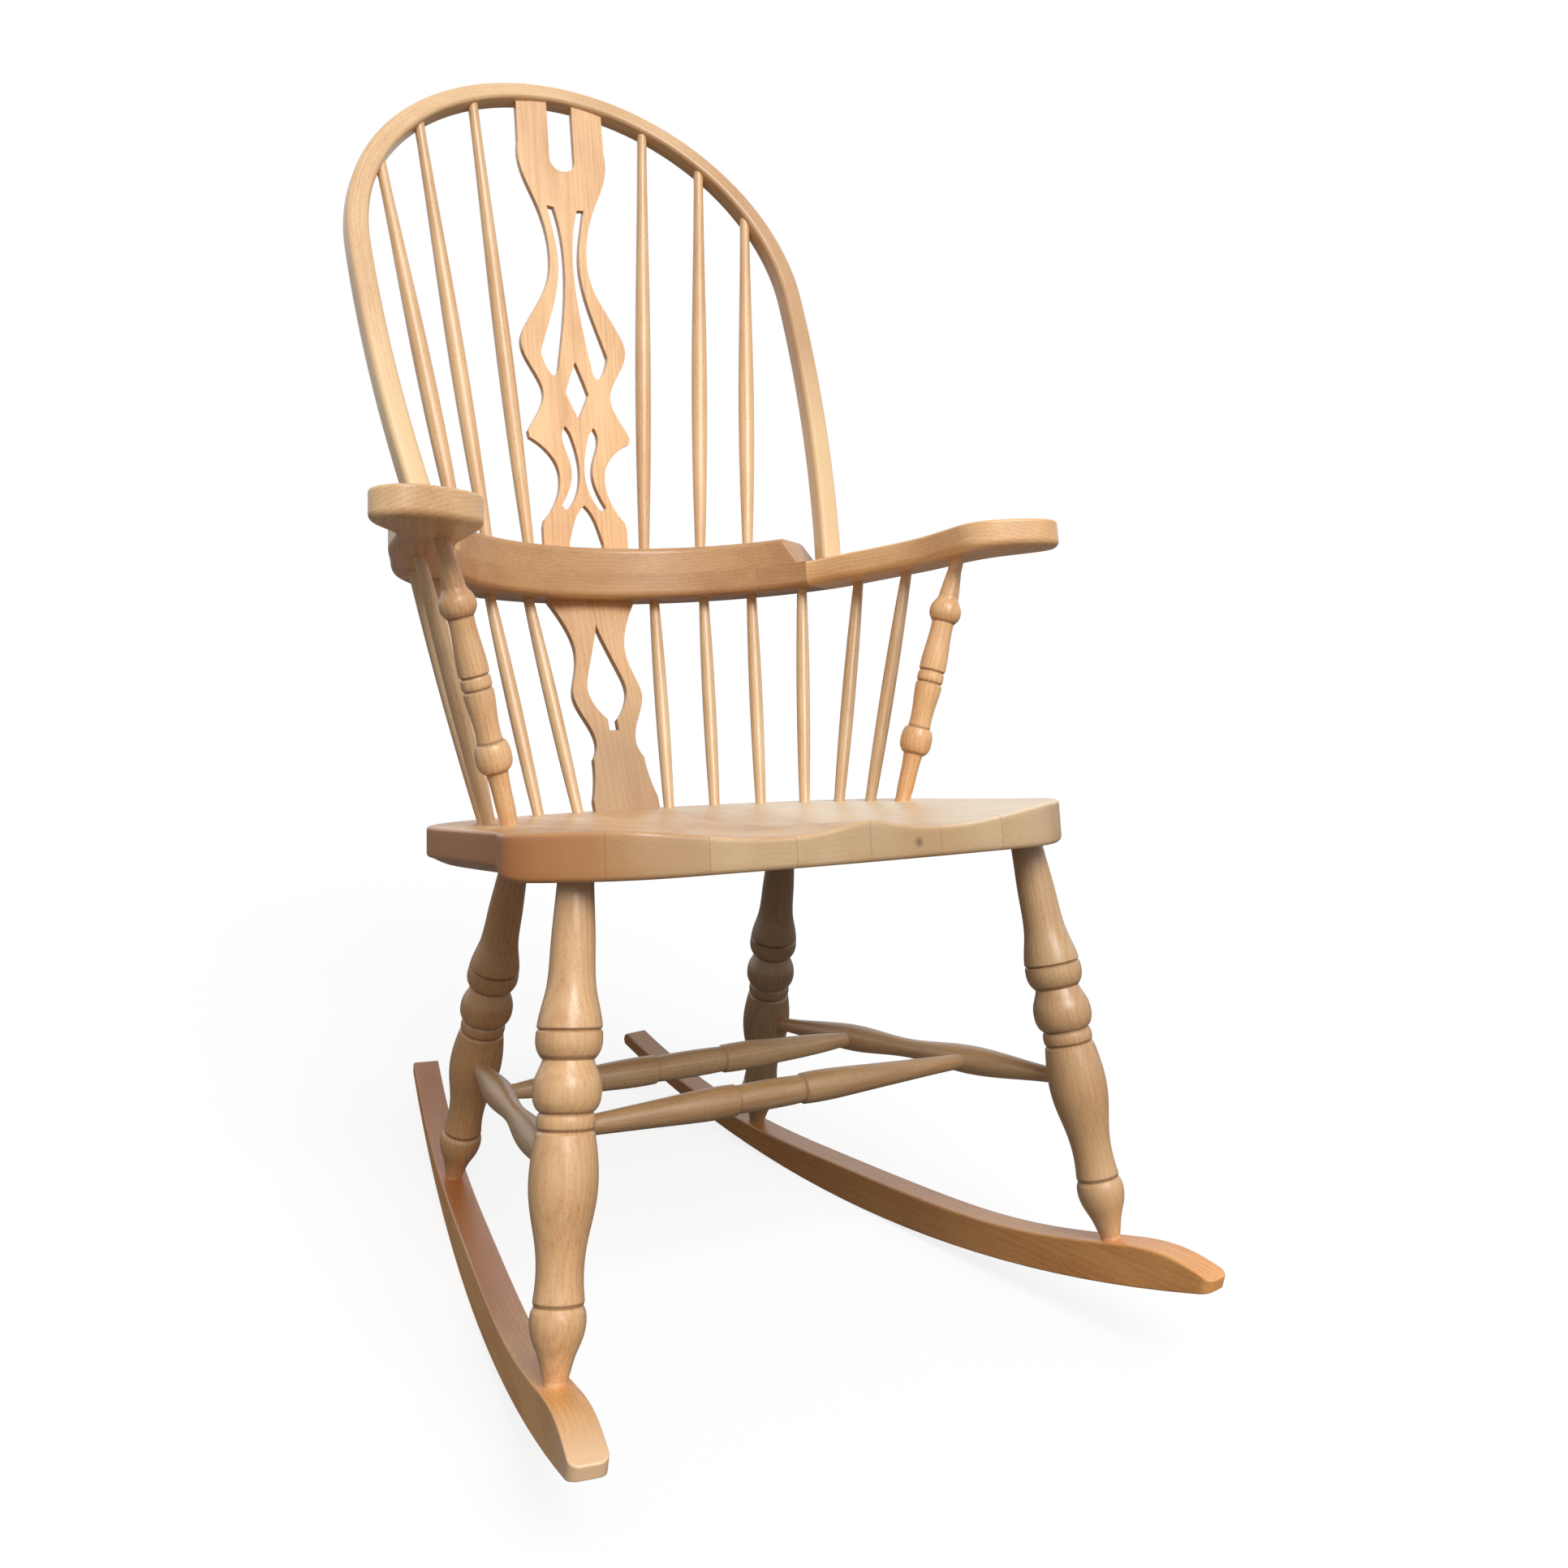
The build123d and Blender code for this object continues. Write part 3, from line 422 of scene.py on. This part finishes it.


# %% [markdown]
# ## Tone, wear and painted shade
# Pieces from different boards differ in tone, and years of use change them further: hands and feet polish
# some places pale, and dirt turns others brown. Some of the darker and paler colour here is painted shade
# and light instead, where the chair's own shade falls under the seat and towards the rockers' backs. A table
# of tones gives each kind of piece its lightness and warmth. Wear and painted shade are each a patina: a
# small function that mixes a second colour into the wood, more and more along one world axis. Painting a
# mask by hand would give finer shapes, but a ramp needs no texture and stays smooth at any distance.

# %% Tones
# Several lightnesses here are painted shade and light: the legs, the front cross stretcher and the lower
# splat are darker for the shade under the seat and the arm bow, and the +x arm is lighter for the light on
# its inner side.
tones_and_painted_light = {  # of each kind of piece: how light, and how warm; the first kind that a name holds counts
    "splat_upper": (1.2, 0.06),
    "splat_lower": (0.95, 0.07),
    "front_leg_left": (0.8, 0.06),
    "front_leg_right": (0.97, 0.1),
    "rear_leg_left": (0.52, 0.04),
    "rear_leg_right": (0.74, 0.2),
    "rocker_left": (1.0, 0.4),
    "rocker_right": (1.06, 0.38),
    "cross_stretcher_front": (0.53, 0.1),
    "cross_stretcher_rear": (0.9, 0.0),
    "side_stretcher": (0.80, 0.06),
    "upper_spindle": (1.14, 0.02),
    "lower_spindle": (1.1, -0.05),
    "arm_post_left": (1.06, 0.1),
    "arm_post_right": (1.12, 0.04),
    "arm_crest": (0.69, 0.16),
    "arm_bow": (0.63, 0.2),
    "arm_left": (1.24, 0.1),
    "": (1.06, 0.04),
}
tone_spread = (0.96, 1.04)  # of pieces of one kind

# %% Wear and painted shade
top_slopes = (0.5, 0.82)  # upward part of the normal: 60 degrees of slope, and 35 degrees


def fading(axis, start, end, colour, share, on_top=False):
    """Colour that fades in from start to end along a world axis, up to this share of the colour; it makes
    both wear and painted shade and light.

    on_top keeps it to what faces up: none of it on a slope of 60 degrees, all of it under 35 degrees.
    """

    def fade(tree, given):
        mask = ramp(tree, component(tree, object_place(tree), axis), start, end, 0.0, share)
        if on_top:
            upward = component(tree, surface_normal(tree), "Z")
            mask = maths(tree, "MULTIPLY", mask, ramp(tree, upward, *top_slopes))
        return mix_colours(tree, mask, given, colour)

    return fade


wear_and_painted_light = {  # handling and dirt, and painted shade and light: parts of the chair that are darker or paler
    # Painted shade: the +x rocker is darker towards its back, under the chair.
    "rocker_left": [fading("Y", -0.36, -0.12, linear(92, 54, 26), 0.6)],
    # Painted shade: the -x rocker's top is browner towards its back, under the chair; painted light: the
    # rocker is paler at its nose.
    "rocker_right": [
        fading("Y", -0.30, -0.12, linear(156, 82, 32), 0.78, on_top=True),
        fading("Y", -0.37, -0.43, linear(248, 210, 168), 0.85),
    ],
    # The lower splat is darker and greyer towards its bottom.
    "splat_lower": [fading("Z", 0.52, 0.43, linear(140, 114, 82), 0.5)],
    # Painted shade: the front legs' tops are darker under the seat.
    "front_leg": [fading("Z", 0.355, 0.42, linear(96, 62, 36), 0.6)],
    # Painted light: the +x front leg is paler towards its foot, below the seat's shade.
    "front_leg_left": [fading("Z", 0.26, 0.13, linear(236, 192, 140), 0.4)],
    # Painted shade: the rear legs' tops are darker under the seat, the +x leg's most.
    "rear_leg_left": [fading("Z", 0.22, 0.38, linear(80, 52, 32), 0.38)],
    "rear_leg_right": [fading("Z", 0.22, 0.38, linear(80, 52, 32), 0.12)],
    "arm_left": [fading("Y", -0.26, -0.34, linear(166, 120, 80), 0.25)],
    "arm_right": [fading("Y", -0.2, -0.32, linear(234, 207, 174), 0.7)],
}
print(len(tones_and_painted_light), "tones,", sum(len(fades) for fades in wear_and_painted_light.values()), "patinas")

# %% [markdown]
# ## Turned grooves
# A turner rings a leg or post with thin grooves, and old wax and dirt stay in them. The grooves are in the
# shape already, and the dark band painted at each is partly that dirt and partly painted shade in the
# groove. A point's distance up the turning is its place projected on the turning's axis, so a dark band at
# each groove's distance finds the groove however the leg is splayed.

# %% Grooves
groove_width = 0.0022  # from its middle to where its dirt ends
groove_share = 0.65
# Dirt and painted shade in the grooves.
groove_shade_brown = linear(92, 56, 30)
leg_grooves = (0.053, 0.163, 0.174, 0.211, 0.230)  # metres up from the foot, past its tenon
post_grooves = (0.048, 0.074, 0.120, 0.132, 0.184)
rear_leg_scale = 0.948  # the rear legs are the front legs' turning made shorter
groove_sets = {  # of each kind of turning: the length of its foot tenon, and its grooves
    "front_leg": (0.017, leg_grooves),
    "rear_leg": (0.012, [rear_leg_scale * length for length in leg_grooves]),
    "arm_post": (0.018, post_grooves),
}


def groove_shade_and_dirt(piece, lengths):
    """Dirt and painted shade that darken a turning's grooves, at these distances from its lowest point."""
    along = np.array(grain_direction(piece))
    start = (points_of(piece) @ along).min()

    def darken(tree, colour):
        place = {0: object_place(tree), 1: tuple(along)}
        far = add_node(tree, "ShaderNodeVectorMath", place, operation="DOT_PRODUCT").outputs["Value"]
        mask = 0.0
        for length in lengths:
            near = maths(tree, "ABSOLUTE", maths(tree, "SUBTRACT", far, start + length))
            mask = maths(tree, "MAXIMUM", mask, ramp(tree, near, 0.0, groove_width, 1.0, 0.0))
        return mix_colours(tree, maths(tree, "MULTIPLY", mask, groove_share), colour, groove_shade_brown)

    return darken


# %% Dress every piece
for name in sorted(nodes):
    gain, warmth = next(tone for kind, tone in tones_and_painted_light.items() if kind in name)
    gain *= draws.uniform(*tone_spread)
    patinas = [fade for kind, fades in wear_and_painted_light.items() if kind in name for fade in fades]
    for kind, (tenon, grooves) in groove_sets.items():
        if kind in name:
            patinas.append(groove_shade_and_dirt(nodes[name], [tenon + length for length in grooves]))
    dress(nodes[name], beech_finish("beech_" + name, grain_direction(nodes[name]), gain, warmth, patinas))
print("dressed", len(nodes), "pieces")

# %% [markdown]
# ## The seat
# The seat is a thick plank glued up from staves, with a rounded front, a cove each side of it, straight
# sides and a round back, and its top is saddled: two thigh dips with a low ridge between them that
# fades out towards the back. It could be carved with booleans, but a computed surface blends better. The
# outline is a smooth curve, the top is a height over it, and rings run from the middle of the top, over
# the rounded edge, down the side and underneath, where the sides are bevelled to look thinner.

# %% Seat's own frame
rest_tilt = math.radians(8.65)
seat_origin = np.array([0, -0.28026, 0.43532])


def from_seat(points):
    """World points, in metres, of points in millimetres in the seat's frame, which leans back at rest."""
    x, y, z = np.moveaxis(np.asarray(points, float) / 1000, -1, 0)
    back = y * math.cos(rest_tilt) + z * math.sin(rest_tilt)
    up = z * math.cos(rest_tilt) - y * math.sin(rest_tilt)
    return np.stack([x, back, up], -1) + seat_origin


# %% Seat outline
seat_front_edge = -42
seat_back_edge = 452
seat_front_radius = 1458
seat_front_stations = (0, 60, 120, 175)  # widths at which the front's arc is taken
seat_side_points = [
    (208, -16),
    (233, 6),
    (254, 31),
    (264.5, 54),
    (262, 74),
    (256, 92),
    (253.5, 116),
    (252.5, 170),
    (251.5, 230),
    (247.5, 296),
    (236, 331),
    (205, 376),
    (159, 411),
    (93, 439),
]
outline_steps = 480
curve_steps = 40


def smooth_loop(points, count):
    """Closed Catmull-Rom curve through points, resampled to even spacing.

    Between two points it is the cubic with each point's slope half the step between its neighbours.
    """
    points = np.asarray(points, float)
    ahead, after, before = (np.roll(points, -k, axis=0) for k in (1, 2, -1))
    t = np.linspace(0, 1, curve_steps, endpoint=False)[:, None, None]
    curve = 0.5 * (
        2 * points
        + (ahead - before) * t
        + (2 * before - 5 * points + 4 * ahead - after) * t**2
        + (3 * points - before - 3 * ahead + after) * t**3
    )
    curve = curve.transpose(1, 0, 2).reshape(-1, 2)
    closed = np.vstack([curve, curve[:1]])
    length = np.concatenate([[0], np.cumsum(np.linalg.norm(np.diff(closed, axis=0), axis=1))])
    even = np.linspace(0, length[-1], count, endpoint=False)
    return np.stack([np.interp(even, length, closed[:, k]) for k in (0, 1)], -1)


front_x = np.array(seat_front_stations)
front_y = seat_front_edge + seat_front_radius - np.sqrt(seat_front_radius**2 - front_x**2)
right_side = [*zip(front_x, front_y), *seat_side_points]
left_side = [(-x, y) for x, y in right_side[:0:-1]]
outline = smooth_loop([*right_side, (0, seat_back_edge), *left_side], outline_steps)
step = np.roll(outline, -1, axis=0) - np.roll(outline, 1, axis=0)
inward = np.stack([-step[:, 1], step[:, 0]], -1) / np.linalg.norm(step, axis=1, keepdims=True)
print("outline", outline.min(axis=0).round(1), outline.max(axis=0).round(1))

# %% Saddle
dip_middle = 75
dip_depth = 14.5
dip_reach = 130
dip_flatness = 0.75
dip_deepest = 90  # how far back the dips are deepest
dip_front_reach = 130
dip_front_loss = 0.18
dip_back_reach = 285
ridge_height = 7.5
ridge_width = 34
ridge_fade = (-20, 230)


def ease(value, low, high):
    """Smooth step from 0 at low to 1 at high, level at both ends."""
    share = np.clip((value - low) / (high - low), 0, 1)
    return share * share * (3 - 2 * share)


def saddle_depth(x, y):
    """How far the top lies under the seat's plane.

    Each side's dip is a cosine bell across, level inside its middle line, times a bell along. A Gaussian
    ridge on the middle line rises out of them towards the front.
    """
    outside = np.clip((np.abs(x) - dip_middle) / dip_reach, 0, 1)
    across = (0.5 + 0.5 * np.cos(math.pi * outside)) ** dip_flatness
    ahead = 1 - dip_front_loss * np.clip((dip_deepest - y) / dip_front_reach, 0, 1.2) ** 2
    behind = 0.5 + 0.5 * np.cos(math.pi * np.clip((y - dip_deepest) / dip_back_reach, 0, 1))
    along = np.where(y < dip_deepest, ahead, behind)
    ridge = ridge_height * np.exp(-((x / ridge_width) ** 2)) * (1 - ease(y, *ridge_fade))
    return np.clip(dip_depth * across * along - ridge * across, 0, None)


# %% Seat surface
seat_thickness = 36
seat_middle = np.array([0, 190])
top_round = 3.5
under_round = 4.0
bevel_height = 8.5
bevel_reach = 24
bevel_start = (30, 95)  # how far back the bevel starts, and where it is full


def seat_rings():
    """Rings from the middle of the top, out over the rounded edge, down the side and underneath.

    Each stretch is a set of shares or angles along its own line, from its first ring to its last.
    """
    bevel = ease(outline[:, 1], *bevel_start)[:, None]
    arc = np.linspace(0, math.pi / 2, 7)[:, None, None]
    shell = outline[None] + inward[None] * top_round
    shares = np.linspace(0.01, 1, 70)[:, None, None]
    top = seat_middle + (shell - seat_middle) * shares
    top_z = -saddle_depth(top[..., 0], top[..., 1])
    rim = top_z[-1][None]
    round_over = outline[None] + inward[None] * top_round * (1 - np.sin(arc))
    round_z = rim - top_round * (1 - np.cos(arc[..., 0]))
    foot = -seat_thickness + bevel_height * bevel[:, 0]
    wall_z = np.linspace(0.15, 1, 5)[:, None] * (foot + under_round - round_z[-1]) + round_z[-1]
    wall = np.broadcast_to(outline, (len(wall_z), *outline.shape))
    under = outline[None] + inward[None] * under_round * (1 - np.cos(arc))
    under_z = foot + under_round * (1 - np.sin(arc[..., 0]))
    slope = np.linspace(0.1, 1, 8)[:, None, None]
    bevelled = under[-1] + inward * bevel_reach * slope * bevel
    bevelled_z = foot - bevel_height * bevel[:, 0] * np.sin(slope[..., 0] * math.pi / 2)
    back = seat_middle + (bevelled[-1] - seat_middle) * np.linspace(0.97, 0.02, 24)[:, None, None]
    back_z = np.full(back.shape[:2], -float(seat_thickness))
    flat = np.concatenate([top, round_over[1:], wall, under[1:], bevelled, back])
    heights = np.concatenate([top_z, round_z[1:], wall_z, under_z[1:], bevelled_z, back_z])
    return from_seat(np.concatenate([flat, heights[..., None]], -1))


seat = closed_mesh("saddled_seat", seat_rings())
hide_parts("seat")
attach(seat, "root")

# %% [markdown]
# ## The seat's wood
# The staves run from front to back, so the seat's front shows end grain, greyer and deeper than the
# rest, and thin glue lines between staves of slightly different tone. One group finds the stave that a
# point lies in by counting the joints to its left, and hands on a random number for it, which also
# starts the wood anew in each stave.

# %% Stave group
stave_joints = (-0.211, -0.137, -0.065, 0.001, 0.070, 0.135, 0.205)
glue_width = 0.0005  # to each side of the joint


def stave_group():
    """Group: distance across the seat in; a number for the stave and a mask of the glue lines out."""
    group, given, put = new_group("staves", {"Across": "Float"}, {"Stave": "Float", "Glue": "Float"})
    count, glue = 0.0, 0.0
    for joint in stave_joints:
        count = maths(group, "ADD", count, maths(group, "GREATER_THAN", given["Across"], joint))
        glue = maths(group, "ADD", glue, maths(group, "COMPARE", given["Across"], joint, glue_width))
    chance = add_node(group, "ShaderNodeTexWhiteNoise", {"W": count}, noise_dimensions="1D")
    group.links.new(chance.outputs["Value"], put["Stave"])
    group.links.new(glue, put["Glue"])
    return group


staves = stave_group()
print("stave group:", len(staves.nodes), "nodes")

# %% Wood of the staves
seat_gain = 1.14
stave_offset = 0.07  # how far the tree's heart is moved towards -x
stave_tones = (0.9, 1.06)
blotch_scale = (13, 13, 7)
blotch_detail = 4.0
blotch_range = (0.44, 0.62)
blotch_share = 0.6
blotch_brown = linear(204, 146, 86)


def stave_wood(tree, place, stave):
    """Outputs of the beech pattern, and its colour with the stave's own tone and the seat's blotches."""
    jump = add_node(tree, "ShaderNodeCombineXYZ", {"X": stave_offset, "Y": stave, "Z": stave}).outputs[0]
    moved = add_node(tree, "ShaderNodeVectorMath", {0: place, 1: jump}, operation="ADD").outputs[0]
    wood = beech_wood(tree, moved, seat_gain, 0.0)
    tone = ramp(tree, stave, 0.0, 1.0, *stave_tones)
    shade = add_node(tree, "ShaderNodeCombineColor", {"Red": tone, "Green": tone, "Blue": tone}).outputs[0]
    toned = mix_colours(tree, 1.0, wood["Color"], shade, "MULTIPLY")
    blotch = noise(tree, place, blotch_scale, blotch_detail)
    worn = ramp(tree, blotch, *blotch_range, 0.0, blotch_share)
    return wood, mix_colours(tree, worn, toned, blotch_brown)


# %% End grain
end_range = (0.6, 0.95)  # part of the normal that lies along the grain
end_share = 0.55
end_grey = linear(189, 163, 127)
seat_grain = (0, math.cos(rest_tilt), -math.sin(rest_tilt))


def end_grain(tree, colour):
    """Patina of greyer wood where the surface faces along the grain."""
    sides = {0: surface_normal(tree), 1: seat_grain}
    facing = add_node(tree, "ShaderNodeVectorMath", sides, operation="DOT_PRODUCT").outputs["Value"]
    end = ramp(tree, maths(tree, "ABSOLUTE", facing), *end_range)
    return mix_colours(tree, maths(tree, "MULTIPLY", end, end_share), colour, end_grey)


# %% [markdown]
# The seat's colour is uneven. Its -x wing is a warmer brown at its front corner and down its side, which is
# painted shade, and the top of its +x half is paler, which is a painted sheen. A small dark knot sits in the
# end grain of the front. Each is a patina like those of the other pieces, and they are laid over one another
# in order.

# %% Painted shade and sheen of the seat
# Painted shade on the -x wing: its front corner and the side that faces -x.
wing_widths = (-0.215, -0.15)
wing_lengths = (-0.16, -0.24)  # along the grain, from where the warmth starts to where it is full
corner_share = 0.7
corner_shade_brown = linear(188, 128, 68)
side_facing = (-0.5, -0.9)
side_share = 0.7
side_shade_brown = linear(188, 112, 60)
# Painted sheen: the top of the seat's +x half is paler.
painted_sheen = fading("X", 0.0, 0.14, linear(252, 237, 208), 0.62, on_top=True)


def shaded_wing(tree, colour, across, along):
    """Painted shade: warmer, browner wood at the -x wing's front corner and on the side that faces -x."""
    wing = ramp(tree, across, *wing_widths, 1.0, 0.0)
    corner = maths(tree, "MULTIPLY", wing, ramp(tree, along, *wing_lengths))
    cornered = mix_colours(tree, maths(tree, "MULTIPLY", corner, corner_share), colour, corner_shade_brown)
    sideways = component(tree, surface_normal(tree), "X")
    return mix_colours(tree, ramp(tree, sideways, *side_facing, 0.0, side_share), cornered, side_shade_brown)


# %% Knot
knot_place = (0.047, -0.323, 0.418)
knot_radii = (0.0015, 0.0055)  # of its dark middle, and of its edge
knot_share = 0.7
knot_brown = linear(92, 60, 36)


def knot(tree, colour):
    """Patina of a dark ball in the wood, of which the surface shows a spot."""
    places = {0: object_place(tree), 1: knot_place}
    far = add_node(tree, "ShaderNodeVectorMath", places, operation="DISTANCE").outputs["Value"]
    return mix_colours(tree, ramp(tree, far, *knot_radii, knot_share, 0.0), colour, knot_brown)


# %% Seat finish
glue_share = 0.3
glue_brown = linear(120, 84, 52)


def seat_finish():
    """Beech staves with glue lines, end grain, blotches and a knot, with painted shade on the -x wing and a
    painted sheen on the +x half.
    """
    material, tree = new_tree("beech_seat_staves")
    place = board_place(tree, seat_grain, (0.0, 0.0, 0.0))
    across = component(tree, object_place(tree), "X")
    stave = add_node(tree, "ShaderNodeGroup", {"Across": across}, node_tree=staves).outputs
    wood, colour = stave_wood(tree, place, stave["Stave"])
    colour = end_grain(tree, painted_sheen(tree, colour))
    colour = knot(tree, shaded_wing(tree, colour, across, component(tree, place, "Z")))
    colour = mix_colours(tree, maths(tree, "MULTIPLY", stave["Glue"], glue_share), colour, glue_brown)
    finish_shader(tree, colour, wood["Roughness"], wood["Height"])
    return material


dress(seat, seat_finish())
print("seat finish:", len(seat.data.materials[0].node_tree.nodes), "nodes")

# %% [markdown]
# ## The hoop
# The hoop is one straight stick, steamed and bent, so its grain runs round the bend. A pattern in plain
# object coordinates can't follow it. The hoop is therefore swept here along its own centreline, an arc
# over the top that runs into a nearly straight arc down each side, and every point keeps its place in
# the straight stick as an attribute, which the finish reads.

# %% Hoop centreline
hoop_lean = rest_tilt + math.radians(20.82)
hoop_foot_back = 253
hoop_top = 925
crown_radius = 268
crown_angle = math.radians(92)
side_radius = 2166
side_length = 378.5


def hoop_centreline(distance):
    """Place and direction up the hoop's plane at a signed distance from the top of the crown.

    Up to the crown's end it is a circle about the crown's middle. Past it, it goes on as a circle of the
    side's radius, tangent to the first, and the -x half mirrors the +x half.
    """
    side, far = np.sign(distance), np.abs(distance)
    crown_end = crown_radius * crown_angle
    turn = np.minimum(far, crown_end) / crown_radius
    more = np.maximum(far - crown_end, 0) / side_radius
    x = crown_radius * np.sin(turn) + side_radius * (np.sin(crown_angle + more) - np.sin(crown_angle))
    height = hoop_top - crown_radius * (1 - np.cos(turn))
    height = height + side_radius * (np.cos(crown_angle + more) - np.cos(crown_angle))
    angle = turn + more
    return side * x, height, side * angle


# %% Hoop surface
hoop_size = 24
hoop_round = 5.5
hoop_steps = 240
section_steps = 48


def hoop_rings():
    """Sweep of a rounded square along the centreline, with each point's place in the straight stick."""
    reach = crown_radius * crown_angle + side_length
    distance = np.linspace(-reach, reach, hoop_steps)
    x, height, angle = hoop_centreline(distance)
    bend = np.linspace(0, 2 * math.pi, section_steps, endpoint=False) + math.pi / section_steps
    half = hoop_size / 2 - hoop_round
    across = half * np.sign(np.cos(bend)) + hoop_round * np.cos(bend)
    through = half * np.sign(np.sin(bend)) + hoop_round * np.sin(bend)
    up = height[:, None] + across * np.cos(angle)[:, None]
    sideways = x[:, None] + across * np.sin(angle)[:, None]
    foot = from_seat((0, hoop_foot_back, 0))
    y = up * math.sin(hoop_lean) - through * math.cos(hoop_lean)
    z = up * math.cos(hoop_lean) + through * math.sin(hoop_lean)
    rings = np.stack([sideways / 1000, foot[1] + y / 1000, foot[2] + z / 1000], -1)
    stick = np.stack(np.broadcast_arrays(across, through, distance[:, None]), -1) / 1000
    return rings, stick


hoop = closed_mesh("bent_hoop", *hoop_rings())
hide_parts("hoop")
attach(hoop, "root")

# %% Hoop finish
hoop_gain = 1.16
hoop_place = (0.06, 0.02, 0.4)  # in its board, with the tree's heart about 60 mm away
# The hoop is darker towards +x, and paler below 0.9 m.
hoop_fades = [
    fading("X", 0.08, 0.24, linear(176, 128, 86), 0.45),
    fading("Z", 0.90, 0.78, linear(248, 214, 162), 0.6),
]


def hoop_finish():
    """Beech whose grain follows the bend, from the stick places stored on the mesh."""
    material, tree = new_tree("beech_bent_hoop")
    stick = add_node(tree, "ShaderNodeAttribute", attribute_name="grain_place").outputs["Vector"]
    place = add_node(tree, "ShaderNodeMapping", {"Vector": stick, "Location": hoop_place}).outputs[0]
    wood = beech_wood(tree, place, hoop_gain, 0.0)
    colour = wood["Color"]
    for patina in hoop_fades:
        colour = patina(tree, colour)
    finish_shader(tree, colour, wood["Roughness"], wood["Height"])
    return material


dress(hoop, hoop_finish())
print("hoop finish:", len(hoop.data.materials[0].node_tree.nodes), "nodes")
